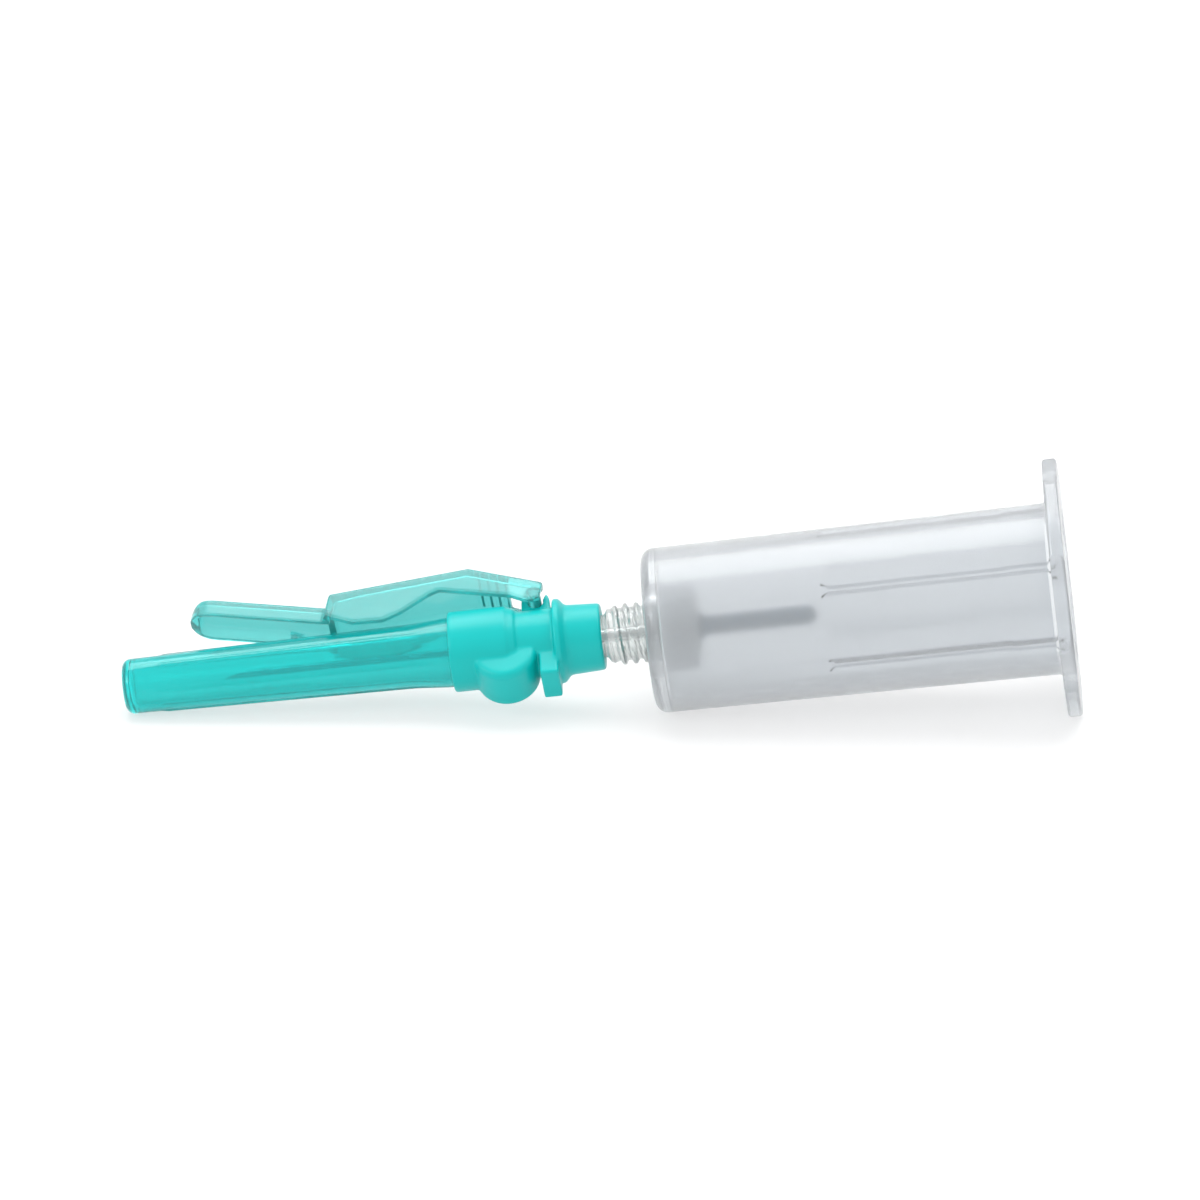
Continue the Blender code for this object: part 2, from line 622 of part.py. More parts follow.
def shield_body(hollow):
    """Loft of the shield's outside, or of the hollow that is cut out of it."""
    tops, rims = shield_lines()
    tip = -SHIELD_REACH
    step = tip + TONGUE_LENGTH
    wide = step + STEP_SLOPE
    round_end = TONGUE_WIDTH / 2
    moved = {step: step + WIDE_WALL, wide: wide + WIDE_WALL, LUG_OVERHANG: LUG_OVERHANG + OVERRUN}
    places = {tip + round_end * share for share in (0.0, 0.06, 0.2, 0.45, 0.75, 1.0)}
    places |= {place for place, _ in rims} | {-HUMP_AHEAD_OF_PIVOT}
    sections = []
    for x in sorted(places):
        half_width = TONGUE_WIDTH / 2 if x <= step else WIDE_WIDTH / 2
        wall = TONGUE_WALL if x <= step else WIDE_WALL
        ahead = x - tip
        if ahead < round_end:
            half_width = max(math.sqrt(round_end ** 2 - (round_end - ahead) ** 2), TONGUE_END_WIDTH / 2)
        top = between(x, tops)
        rim = between(x, rims)
        if not hollow:
            sections.append(shield_section(x, half_width, top, rim, TOP_EDGE_RADIUS))
        elif ahead > TONGUE_END_WALL:
            place = moved.get(x, x)
            sections.append(shield_section(place, half_width - wall, top - wall, rim - HOLLOW_DROP,
                                           TOP_EDGE_RADIUS / 2))
    return loft(sections)


def needle_catch():
    """Barb inside the tongue that springs past the needle when the shield is closed."""
    wall = TONGUE_WIDTH / 2 - TONGUE_WALL
    front = -CATCH_AHEAD_OF_PIVOT
    back = front + CATCH_LENGTH
    outline = [(front, wall + EDGE), (back, wall + EDGE), (back, wall - EDGE),
               (front + CATCH_SLOPE, CATCH_GAP), (front, CATCH_GAP)]
    height = TONGUE_RIM + CATCH_RIM_MARGIN
    return extrude([(x, y, height) for x, y in outline], (0, 0, CATCH_HEIGHT))


def make_shield(pivot, surface):
    """Trough that swings over the needle: tongue, humped rear half, ridges, catch and hinge bar."""
    shield = finish(shield_body(hollow=False), "safety_shield", pivot, surface)
    combine(shield, finish(shield_body(hollow=True), "shield_hollow", pivot), "DIFFERENCE")

    room_start = -(BAR_DIAMETER / 2 + RUNNING_GAP + HOOK_WALL + HOOK_ROOM)
    room_side = HOOK_WIDTH / 2 + HOOK_SIDE_ROOM
    room = block((room_start, -room_side, PIVOT_RADIUS - HOLLOW_DROP),
                 (LUG_OVERHANG + OVERRUN, room_side, HUMP_TOP + OVERRUN))
    combine(shield, finish(room, "hook_room", pivot), "DIFFERENCE")

    slope = (HUMP_TOP - REAR_TOP) / (HUMP_AHEAD_OF_PIVOT + LUG_OVERHANG)
    half = WIDE_WIDTH / 2 - TOP_EDGE_RADIUS * 1.5
    for i in range(THUMB_RIDGE_COUNT):
        behind_hump = THUMB_RIDGE_START + THUMB_RIDGE_PITCH * i
        top = HUMP_TOP - slope * behind_hump - THUMB_RIDGE_SINK
        ridge = round_bar(behind_hump - HUMP_AHEAD_OF_PIVOT, top, THUMB_RIDGE_RADIUS, half,
                          THUMB_RIDGE_STEPS)
        combine(shield, finish(ridge, f"thumb_ridge_{i + 1}", pivot), "UNION")

    combine(shield, finish(needle_catch(), "needle_catch", pivot), "UNION")
    bar = round_bar(0.0, PIVOT_RADIUS, BAR_DIAMETER / 2, (WIDE_WIDTH - WIDE_WALL) / 2, FINE_STEPS)
    combine(shield, finish(bar, "hinge_bar", pivot), "UNION")
    return shield


def cap_profile():
    """Outline of the cap from its closed tip round its open base and back up the inside."""
    flare = SKIRT_FRONT - CAP_FLARE_LENGTH
    foot_start = SKIRT_FRONT - CAP_BASE_LENGTH
    end = CAP_TIP_DIAMETER / 2
    middle = CAP_MIDDLE_DIAMETER / 2
    foot = CAP_BASE_DIAMETER / 2
    corner = CAP_TIP_RADIUS
    dimple = CAP_TIP + CAP_TIP_DIMPLE
    floor = CAP_TIP + CAP_WALL
    outside = [(dimple, 0.0), (dimple, end - corner - CAP_TIP_RIM)]
    outside += arc((CAP_TIP + corner, end - corner), corner, 180, 90, CORNER_STEPS)
    outside += [(flare, middle), (foot_start, foot), (CAP_BASE, foot)]
    inside = [(CAP_BASE, foot - CAP_WALL + EDGE), (CAP_BASE - EDGE, foot - CAP_WALL),
              (foot_start, foot - CAP_WALL), (flare, middle - CAP_WALL),
              (floor + CAP_FLOOR_CHAMFER, end - CAP_WALL), (floor, end - CAP_WALL - CAP_FLOOR_CHAMFER),
              (floor, 0.0)]
    return outside + inside


def make_cap(parent, surface):
    """Long closed cap over the patient needle, with shallow ribs along it for grip."""
    bm = lathe(cap_profile(), ROUND_STEPS, closed=False)
    flare = SKIRT_FRONT - CAP_FLARE_LENGTH
    start = CAP_TIP + CAP_RIB_START
    for place in (start, start + CAP_RIB_SLOPE):
        everything = bm.verts[:] + bm.edges[:] + bm.faces[:]
        bmesh.ops.bisect_plane(bm, geom=everything, plane_co=(place, 0, 0), plane_no=(1, 0, 0))
    for vert in bm.verts:
        radius = math.hypot(vert.co.y, vert.co.z)
        outside = radius > (CAP_TIP_DIAMETER - CAP_WALL) / 2
        ribbed = start + CAP_RIB_SLOPE / 2 < vert.co.x < flare + MERGE
        step = round(math.atan2(vert.co.z, vert.co.y) / math.tau * ROUND_STEPS)
        if outside and ribbed and step % (ROUND_STEPS // CAP_RIB_COUNT) == 0:
            vert.co.yz *= (radius + CAP_RIB_HEIGHT) / radius
    return finish(bm, "needle_cap", parent, surface, sharp=40.0)


def place_on_floor(device):
    """Lay the device on the tip of its cap and on its flange, with its box centred on the origin."""
    cap_x = CAP_TIP + CAP_TIP_RADIUS
    cap_z = CAP_TIP_RADIUS - CAP_TIP_DIAMETER / 2
    flange_z = FLANGE_EDGE_RADIUS - FLANGE_HEIGHT / 2
    foot_x = FLANGE_FACE + FLANGE_EDGE_RADIUS
    heel_x = HOLDER_LENGTH - FLANGE_EDGE_RADIUS
    across = math.hypot(foot_x - cap_x, cap_z - flange_z)
    drop = math.atan2(cap_z - flange_z, foot_x - cap_x)
    lean = drop - math.asin((CAP_TIP_RADIUS - FLANGE_EDGE_RADIUS) / across)
    height = CAP_TIP_RADIUS - cap_x * math.sin(lean) - cap_z * math.cos(lean)
    front = cap_x * math.cos(lean) + cap_z * math.sin(lean) - CAP_TIP_RADIUS
    back = heel_x * math.cos(lean) - flange_z * math.sin(lean) + FLANGE_EDGE_RADIUS
    device.rotation_euler.y = -lean
    device.location = (-(front + back) / 2, 0, height)


def main():
    """Build every piece, swing the shield to its place beside the cap, and lay the device down."""
    clear_scene()
    teal = material("teal_plastic", (0.0, 0.55, 0.52), 0.28, transmission=0.5)
    cap_teal = material("cap_plastic", (0.0, 0.60, 0.57), 0.28, transmission=0.5)
    pale_teal = material("pale_teal_plastic", (0.25, 0.74, 0.70), 0.25, transmission=0.6)
    clear = material("clear_plastic", (0.93, 0.95, 0.95), 0.12, transmission=0.9)
    frosted = material("frosted_plastic", (0.80, 0.82, 0.82), 0.30, transmission=0.7)
    steel = material("stainless_steel", (0.62, 0.63, 0.65), 0.22, metallic=1.0)
    rubber = material("grey_rubber", (0.20, 0.23, 0.26), 0.60)
    resin = material("cured_adhesive", (0.80, 0.84, 0.86), 0.15, transmission=0.8)

    device = empty("device_frame")
    leaning = empty("hinge_plane", device)
    leaning.rotation_euler.x = -math.radians(SHIELD_LEAN)
    pivot = empty("shield_pivot", leaning)

    make_cannula(device, steel)
    make_bond_bead(device, resin)
    make_hub(device, clear)
    make_sleeve(device, rubber)
    make_holder(device, frosted)
    make_collar(device, leaning, teal)
    make_shield(pivot, pale_teal)
    make_cap(device, cap_teal)

    # The shield is drawn closed, about the needle's axis; the pivot carries it to its open place.
    for piece in pivot.children:
        piece.location = (0, 0, -PIVOT_RADIUS)
    pivot.location = (-PIVOT_BACK, 0, PIVOT_RADIUS)
    pivot.rotation_euler.y = math.radians(REST_ANGLE)
    place_on_floor(device)


main()
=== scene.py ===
import math

import bmesh
import bpy
from mathutils import Matrix, Vector


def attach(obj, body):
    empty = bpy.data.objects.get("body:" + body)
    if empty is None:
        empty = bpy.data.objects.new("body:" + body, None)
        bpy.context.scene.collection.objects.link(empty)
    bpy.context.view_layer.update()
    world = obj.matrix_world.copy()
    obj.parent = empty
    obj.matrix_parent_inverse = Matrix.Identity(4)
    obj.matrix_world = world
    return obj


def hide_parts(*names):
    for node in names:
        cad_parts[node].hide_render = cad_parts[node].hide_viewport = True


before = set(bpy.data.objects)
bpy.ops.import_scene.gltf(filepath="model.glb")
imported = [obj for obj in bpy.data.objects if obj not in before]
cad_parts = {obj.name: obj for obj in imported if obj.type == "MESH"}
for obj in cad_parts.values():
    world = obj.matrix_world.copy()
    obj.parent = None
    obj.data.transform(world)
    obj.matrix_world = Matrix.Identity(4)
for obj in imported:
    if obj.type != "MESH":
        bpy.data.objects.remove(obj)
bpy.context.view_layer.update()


# Table top: a smooth white laminated board, much larger than the picture, so that it fills it. It is
# partly lit from within, as a light table is, so that only the softest shadow shows on it.
TABLE_HALF = 3.0


def blank_finish(name):
    """A new material, with its nodes, its links and its shader."""
    made = bpy.data.materials.new(name)
    made.use_nodes = True
    nodes = made.node_tree.nodes
    return made, nodes, made.node_tree.links, nodes["Principled BSDF"]


def grain(nodes, size, detail):
    """A noise pattern of one size."""
    pattern = nodes.new("ShaderNodeTexNoise")
    pattern.inputs["Scale"].default_value = size
    pattern.inputs["Detail"].default_value = detail
    return pattern


def two_tones(nodes, low, high):
    """A ramp from one tone to another."""
    tone = nodes.new("ShaderNodeValToRGB")
    for stop, colour in zip(tone.color_ramp.elements, (low, high)):
        stop.color = (*colour, 1)
    return tone


def laminate():
    """White laminate with a very faint unevenness from pressing."""
    made, nodes, links, shader = blank_finish("white_laminate")
    shader.inputs["Roughness"].default_value = 0.62
    shader.inputs["Specular IOR Level"].default_value = 0.25
    shader.inputs["Emission Color"].default_value = (1.0, 1.0, 1.0, 1)
    shader.inputs["Emission Strength"].default_value = 0.60
    place = nodes.new("ShaderNodeTexCoord")
    mottle = grain(nodes, 18.0, 4.0)
    tone = two_tones(nodes, (0.33, 0.335, 0.34), (0.355, 0.355, 0.355))
    links.new(place.outputs["Object"], mottle.inputs["Vector"])
    links.new(mottle.outputs["Fac"], tone.inputs["Fac"])
    links.new(tone.outputs["Color"], shader.inputs["Base Color"])
    return made


board = bmesh.new()
bmesh.ops.create_grid(board, x_segments=4, y_segments=4, size=TABLE_HALF)
board_mesh = bpy.data.meshes.new("table_board")
board.to_mesh(board_mesh)
board.free()
board_mesh.materials.append(laminate())
table_board = bpy.data.objects.new("table_board", board_mesh)
bpy.context.collection.objects.link(table_board)


# Studio: white walls all round, one wide soft lamp above and behind the table and a smaller one on the
# near left. The camera stands a little over a metre away, looks down by about twenty degrees and is
# tilted slightly to its right, as it was held.
CAMERA_AZIMUTH = math.radians(1.85)
CAMERA_HEIGHT = math.radians(19.7)
CAMERA_ROLL = math.radians(-1.15)
CAMERA_DISTANCE = 1.175
CAMERA_AIM = Vector((0.0, 0.0, 0.0135))


def soft_lamp(name, place, aim, width, depth, power):
    """A rectangular lamp turned towards a point."""
    lamp = bpy.data.lights.new(name, "AREA")
    lamp.shape = "RECTANGLE"
    lamp.size = width
    lamp.size_y = depth
    lamp.energy = power
    holder = bpy.data.objects.new(name, lamp)
    bpy.context.collection.objects.link(holder)
    holder.location = place
    holder.rotation_euler = (Vector(aim) - Vector(place)).to_track_quat("-Z", "Y").to_euler()


soft_lamp("overhead_lamp", (0.05, 0.25, 0.75), aim=(0, 0, 0), width=0.9, depth=0.6, power=5.5)
soft_lamp("left_lamp", (-0.65, -0.45, 0.5), aim=(0, 0, 0.01), width=0.5, depth=0.4, power=2.0)

walls = bpy.data.worlds.new("white_walls")
walls.use_nodes = True
backdrop = walls.node_tree.nodes["Background"]
backdrop.inputs["Color"].default_value = (1.0, 1.0, 1.0, 1)
backdrop.inputs["Strength"].default_value = 0.90
bpy.context.scene.world = walls
bpy.context.scene.view_settings.view_transform = "Standard"

sight = Vector((math.sin(CAMERA_AZIMUTH) * math.cos(CAMERA_HEIGHT),
                -math.cos(CAMERA_AZIMUTH) * math.cos(CAMERA_HEIGHT), math.sin(CAMERA_HEIGHT)))
lens = bpy.data.cameras.new("long_lens")
lens.lens = 300.0
lens.sensor_width = 36.0
lens.clip_start = 0.01
camera = bpy.data.objects.new("long_lens", lens)
bpy.context.collection.objects.link(camera)
camera.location = CAMERA_AIM + sight * CAMERA_DISTANCE
level_view = (-sight).to_track_quat("-Z", "Y").to_matrix()
camera.rotation_euler = (level_view @ Matrix.Rotation(CAMERA_ROLL, 3, "Z")).to_euler()
bpy.context.scene.camera = camera


# Cannula: one drawn stainless steel tube, bonded into the hub, with a slanting point ground at each end
# and two side facets at the patient end, whose slant faces the shield on the far upper side. Its line
# rises towards the holder, because the cap's tip and the flange rest on the table.
LEAN = 0.10257116
LINE_START = Vector((0.0056841, 0.0, 0.0095199))
SHIELD_LEAN = math.radians(57.0)
CANNULA_RADIUS = 0.00041
CANNULA_BORE = 0.00026
NEEDLE_TIP = -0.05055
NEEDLE_END = 0.0187
TIP_SLANT = math.radians(14.0)
END_SLANT = math.radians(22.0)
FACET_START = 0.35
FACET_SLOPE = 0.35
needle_line = Matrix.Translation(LINE_START) @ Matrix.Rotation(-LEAN, 4, "Y")


def turned(profile, steps, closed):
    """Spin a few points (place, radius) round the needle's line."""
    bm = bmesh.new()
    points = [bm.verts.new((place, 0.0, radius)) for place, radius in profile]
    edges = [bm.edges.new(pair) for pair in zip(points, points[1:])]
    if closed:
        edges.append(bm.edges.new((points[-1], points[0])))
    bmesh.ops.spin(bm, geom=points + edges, cent=(0, 0, 0), axis=(1, 0, 0), angle=math.tau,
                   steps=steps, use_merge=True)
    bmesh.ops.remove_doubles(bm, verts=bm.verts, dist=1e-7)
    bmesh.ops.recalc_face_normals(bm, faces=bm.faces)
    return bm


def put_in_place(bm, name, place, surface, body, node, sharp=35.0):
    """Give a finished bmesh its place, its material and the body that it moves with."""
    bmesh.ops.transform(bm, matrix=place, verts=bm.verts)
    mesh = bpy.data.meshes.new(name)
    bm.to_mesh(mesh)
    bm.free()
    mesh.shade_smooth()
    mesh.set_sharp_from_angle(angle=math.radians(sharp))
    mesh.materials.append(surface)
    shown = bpy.data.objects.new(name, mesh)
    bpy.context.collection.objects.link(shown)
    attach(shown, body)
    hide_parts(node)
    return shown


def spread(nodes, low, high):
    """Turn a pattern into a value between two others."""
    between = nodes.new("ShaderNodeMapRange")
    between.inputs["To Min"].default_value = low
    between.inputs["To Max"].default_value = high
    return between


def relief(nodes, strength, depth):
    """Turn a pattern into fine bumps."""
    bump = nodes.new("ShaderNodeBump")
    bump.inputs["Strength"].default_value = strength
    bump.inputs["Distance"].default_value = depth
    return bump


def drawn_steel():
    """Bright steel with the very fine lines that drawing leaves along a tube."""
    made, nodes, links, shader = blank_finish("drawn_steel")
    shader.inputs["Metallic"].default_value = 1.0
    place = nodes.new("ShaderNodeTexCoord")
    along = nodes.new("ShaderNodeMapping")
    along.inputs["Rotation"].default_value = (0, LEAN, 0)
    along.inputs["Scale"].default_value = (60, 9000, 9000)
    lines = grain(nodes, 1.0, 3.0)
    rough = spread(nodes, 0.16, 0.34)
    tone = two_tones(nodes, (0.50, 0.51, 0.53), (0.66, 0.67, 0.69))
    bump = relief(nodes, 0.15, 0.00001)
    links.new(place.outputs["Object"], along.inputs["Vector"])
    links.new(along.outputs["Vector"], lines.inputs["Vector"])
    links.new(lines.outputs["Fac"], rough.inputs["Value"])
    links.new(lines.outputs["Fac"], tone.inputs["Fac"])
    links.new(lines.outputs["Fac"], bump.inputs["Height"])
    links.new(rough.outputs["Result"], shader.inputs["Roughness"])
    links.new(tone.outputs["Color"], shader.inputs["Base Color"])
    links.new(bump.outputs["Normal"], shader.inputs["Normal"])
    return made


tube = turned([(NEEDLE_TIP, CANNULA_RADIUS), (NEEDLE_END, CANNULA_RADIUS), (NEEDLE_END, CANNULA_BORE),
               (NEEDLE_TIP, CANNULA_BORE)], 64, closed=True)
upper = Vector((0, math.sin(SHIELD_LEAN), math.cos(SHIELD_LEAN)))
sideways = Vector((0, -math.cos(SHIELD_LEAN), math.sin(SHIELD_LEAN)))
for point in tube.verts:
    height = point.co.dot(upper) + CANNULA_RADIUS
    if point.co.x < 0:
        facet = max(0.0, abs(point.co.dot(sideways)) - CANNULA_RADIUS * FACET_START) * FACET_SLOPE
        point.co.x = NEEDLE_TIP + (height + facet) / math.tan(TIP_SLANT)
    else:
        point.co.x = NEEDLE_END - height / math.tan(END_SLANT)
put_in_place(tube, "steel_cannula", needle_line, drawn_steel(), "needle_and_holder", "cannula",
             sharp=40.0)


# Bond bead: a drop of clear adhesive, cured in the well of the hub's nose. It climbs the needle a
# little and sinks towards the rim of the well, as a liquid that wets both does.
BEAD_REAR = -0.01675
HUB_BORE = 0.00056


def clear_resin():
    """Clear resin, a little cloudier and duller here and there."""
    made, nodes, links, shader = blank_finish("clear_resin")
    shader.inputs["Transmission Weight"].default_value = 1.0
    shader.inputs["IOR"].default_value = 1.5
    place = nodes.new("ShaderNodeTexCoord")
    cure = grain(nodes, 2500.0, 2.0)
    tone = two_tones(nodes, (0.86, 0.90, 0.91), (0.95, 0.97, 0.97))
    rough = spread(nodes, 0.02, 0.12)
    links.new(place.outputs["Object"], cure.inputs["Vector"])
    links.new(cure.outputs["Fac"], tone.inputs["Fac"])
    links.new(cure.outputs["Fac"], rough.inputs["Value"])
    links.new(tone.outputs["Color"], shader.inputs["Base Color"])
    links.new(rough.outputs["Result"], shader.inputs["Roughness"])
    return made


bead = turned([(-0.01965, HUB_BORE), (-0.01930, 0.00058), (-0.01905, 0.00066), (-0.01885, 0.00080),
               (-0.01868, 0.00096), (-0.01860, 0.00100), (BEAD_REAR, 0.00080), (BEAD_REAR, HUB_BORE)],
              48, closed=True)
put_in_place(bead, "adhesive_drop", needle_line, clear_resin(), "needle_and_holder", "bond_bead")


# Needle hub: a clear moulding of hard polycarbonate that carries the needle. Its nose and seat are
# inside the collar, and its right-hand thread, a little of which shows, is screwed into the holder.
HUB_FACE = -0.0188
HUB_SHOULDER = -0.0047
HUB_REAR = 0.0059
NOSE_RADIUS = 0.0029
NOSE_REAR = -0.0171
SEAT_RADIUS = 0.0025
SEAT_FRONT = -0.0167
SEAT_REAR = -0.0052
WELL_FLOOR = -0.0166
THREAD_RADIUS = 0.0036
THREAD_DEPTH = 0.00045
THREAD_PITCH = 0.0013
THREAD_END = 0.0053
THREAD_ROWS = 96
THREAD_FOOT = 0.335
THREAD_FLANK = 0.24
THREAD_SKIN = 0.0028
RECESS_RADIUS = 0.0021
RECESS_FLOOR = 0.0017
NIPPLE_RADIUS = 0.00085
NIPPLE_END = 0.0057


def moulding_group():
    """Node group for every moulded plastic: the faint flow marks and sheen that the mould leaves."""
    group = bpy.data.node_groups.new("moulding_marks", "ShaderNodeTree")
    for way, kind, titles in (("INPUT", "NodeSocketVector", ("Vector",)),
                              ("INPUT", "NodeSocketFloat", ("Mark Size", "Smoothest", "Dullest")),
                              ("INPUT", "NodeSocketColor", ("Light Tone", "Deep Tone")),
                              ("OUTPUT", "NodeSocketColor", ("Color",)),
                              ("OUTPUT", "NodeSocketFloat", ("Roughness", "Height"))):
        for title in titles:
            group.interface.new_socket(name=title, in_out=way, socket_type=kind)
    nodes = group.nodes
    links = group.links
    given = nodes.new("NodeGroupInput")
    result = nodes.new("NodeGroupOutput")
    stretch = nodes.new("ShaderNodeMapping")
    stretch.inputs["Rotation"].default_value = (0, LEAN, 0)
    stretch.inputs["Scale"].default_value = (0.25, 1, 1)
    flow = nodes.new("ShaderNodeTexNoise")
    flow.inputs["Detail"].default_value = 3.0
    flow.inputs["Roughness"].default_value = 0.55
    fine = grain(nodes, 6000.0, 2.0)
    rough = nodes.new("ShaderNodeMapRange")
    tone = nodes.new("ShaderNodeMix")
    tone.data_type = "RGBA"
    height = nodes.new("ShaderNodeMath")
    height.operation = "MULTIPLY_ADD"
    height.inputs[1].default_value = 0.12
    links.new(given.outputs["Vector"], stretch.inputs["Vector"])
    links.new(stretch.outputs["Vector"], flow.inputs["Vector"])
    links.new(given.outputs["Mark Size"], flow.inputs["Scale"])
    links.new(given.outputs["Vector"], fine.inputs["Vector"])
    links.new(flow.outputs["Fac"], rough.inputs["Value"])
    links.new(given.outputs["Smoothest"], rough.inputs["To Min"])
    links.new(given.outputs["Dullest"], rough.inputs["To Max"])
    links.new(flow.outputs["Fac"], tone.inputs["Factor"])
    links.new(given.outputs["Light Tone"], tone.inputs["A"])
    links.new(given.outputs["Deep Tone"], tone.inputs["B"])
    links.new(fine.outputs["Fac"], height.inputs[0])
    links.new(flow.outputs["Fac"], height.inputs[2])
    links.new(tone.outputs["Result"], result.inputs["Color"])
    links.new(rough.outputs["Result"], result.inputs["Roughness"])
    links.new(height.outputs["Value"], result.inputs["Height"])
    return group


moulding_marks = moulding_group()


def moulded_plastic(name, light, deep, smoothest, dullest, mark_size, clearness, soak_colour,
                    soak_density, ior=1.49, bump_depth=0.00003, shine=0.5):
    """A clear or tinted plastic: light passes its skin, and its body takes colour out of the light."""
    made, nodes, links, shader = blank_finish(name)
    shader.inputs["IOR"].default_value = ior
    shader.inputs["Transmission Weight"].default_value = clearness
    shader.inputs["Specular IOR Level"].default_value = shine
    place = nodes.new("ShaderNodeTexCoord")
    marks = nodes.new("ShaderNodeGroup")
    marks.node_tree = moulding_marks
    marks.inputs["Mark Size"].default_value = mark_size
    marks.inputs["Smoothest"].default_value = smoothest
    marks.inputs["Dullest"].default_value = dullest
    marks.inputs["Light Tone"].default_value = (*light, 1)
    marks.inputs["Deep Tone"].default_value = (*deep, 1)
    bump = relief(nodes, 0.35, bump_depth)
    links.new(place.outputs["Object"], marks.inputs["Vector"])
    links.new(marks.outputs["Color"], shader.inputs["Base Color"])
    links.new(marks.outputs["Roughness"], shader.inputs["Roughness"])
    links.new(marks.outputs["Height"], bump.inputs["Height"])
    links.new(bump.outputs["Normal"], shader.inputs["Normal"])
    soak = nodes.new("ShaderNodeVolumeAbsorption")
    soak.inputs["Color"].default_value = (*soak_colour, 1)
    soak.inputs["Density"].default_value = soak_density
    links.new(soak.outputs["Volume"], nodes["Material Output"].inputs["Volume"])
    return made


clear_polycarbonate = moulded_plastic(
    "clear_polycarbonate", light=(0.99, 1.0, 0.995), deep=(0.94, 0.98, 0.97), smoothest=0.14,
    dullest=0.22, mark_size=700.0, clearness=0.78, soak_colour=(0.72, 0.86, 0.84), soak_density=25.0,
    ior=1.57, bump_depth=0.00001)

hub_profile = [(HUB_FACE, 0.00115), (HUB_FACE, 0.0018), (HUB_FACE + 0.0001, 0.0019),
               (HUB_FACE + 0.0006, 0.0028), (HUB_FACE + 0.0008, NOSE_RADIUS), (NOSE_REAR, NOSE_RADIUS),
               (-0.0169, 0.0028), (SEAT_FRONT, SEAT_RADIUS), (SEAT_REAR, SEAT_RADIUS),
               (-0.0050, 0.0026)]
hub_profile += [(HUB_SHOULDER + (THREAD_END - HUB_SHOULDER) * row / THREAD_ROWS,
                 THREAD_RADIUS - THREAD_DEPTH) for row in range(THREAD_ROWS + 1)]
hub_profile += [(HUB_REAR - 0.0002, 0.00315), (HUB_REAR, 0.00295), (HUB_REAR, RECESS_RADIUS),
                (RECESS_FLOOR, RECESS_RADIUS), (RECESS_FLOOR, 0.00095), (0.0018, NIPPLE_RADIUS),
                (0.0046, NIPPLE_RADIUS), (0.0048, 0.0010), (NIPPLE_END, NIPPLE_RADIUS),
                (NIPPLE_END, HUB_BORE), (WELL_FLOOR, HUB_BORE), (WELL_FLOOR, 0.00092)]
hub = turned(hub_profile, 96, closed=True)
for point in hub.verts:
    radius = math.hypot(point.co.y, point.co.z)
    if HUB_SHOULDER < point.co.x < THREAD_END and radius > THREAD_SKIN:
        turn = math.atan2(point.co.z, point.co.y) / math.tau
        phase = ((point.co.x - HUB_SHOULDER) / THREAD_PITCH - turn) % 1.0
        ridge = max(0.0, min(1.0, (THREAD_FOOT - abs(phase - 0.5)) / THREAD_FLANK))
        ridge = ridge * ridge * (3 - 2 * ridge)
        ends = min(1.0, (point.co.x - HUB_SHOULDER) / THREAD_PITCH,
                   (THREAD_END - point.co.x) / THREAD_PITCH)
        point.co.yz *= (radius + THREAD_DEPTH * ridge * ends) / radius
put_in_place(hub, "clear_hub", needle_line, clear_polycarbonate, "needle_and_holder", "needle_hub")


# Rubber sleeve: a dip-moulded grey rubber tube with a closed round end. It is stretched over the
# barb of the hub's nipple and covers the tube end of the needle until a stopper pushes it back.
SLEEVE_RADIUS = 0.0011
SLEEVE_BORE = 0.00068
SLEEVE_END = 0.01992
CUFF_RADIUS = 0.0016
CUFF_BORE = 0.00115
CUFF_RIM = 0.0025


def grey_rubber():
    """Matt blue-grey rubber, lightly powdered."""
    made, nodes, links, shader = blank_finish("grey_rubber")
    shader.inputs["Specular IOR Level"].default_value = 0.35
    place = nodes.new("ShaderNodeTexCoord")
    powder = grain(nodes, 1800.0, 4.0)
    tone = two_tones(nodes, (0.02, 0.075, 0.13), (0.06, 0.145, 0.225))
    tone.color_ramp.elements[0].position = 0.3
    tone.color_ramp.elements[1].position = 0.75
    rough = spread(nodes, 0.48, 0.7)
    bump = relief(nodes, 0.3, 0.00003)
    links.new(place.outputs["Object"], powder.inputs["Vector"])
    links.new(powder.outputs["Fac"], tone.inputs["Fac"])
    links.new(powder.outputs["Fac"], rough.inputs["Value"])
    links.new(powder.outputs["Fac"], bump.inputs["Height"])
    links.new(tone.outputs["Color"], shader.inputs["Base Color"])
    links.new(rough.outputs["Result"], shader.inputs["Roughness"])
    links.new(bump.outputs["Normal"], shader.inputs["Normal"])
    return made


dome = [(SLEEVE_END - SLEEVE_RADIUS * (1 - math.cos(math.radians(10 * step))),
         SLEEVE_RADIUS * math.sin(math.radians(10 * step))) for step in range(1, 10)]
sleeve_profile = [(SLEEVE_END, 0.0)] + dome
sleeve_profile += [(0.0071, SLEEVE_RADIUS), (0.0067, 0.00117), (0.0063, 0.0014), (0.0060, 0.00155),
                   (0.0057, CUFF_RADIUS), (0.0029, CUFF_RADIUS), (0.0026, 0.0015),
                   (CUFF_RIM, 0.00135), (CUFF_RIM, CUFF_BORE), (HUB_REAR, CUFF_BORE),
                   (0.0068, SLEEVE_BORE), (0.0192, SLEEVE_BORE), (0.0195, 0.0)]
sleeve = turned(sleeve_profile, 64, closed=False)
put_in_place(sleeve, "rubber_cover", needle_line, grey_rubber(), "needle_and_holder", "rubber_sleeve")


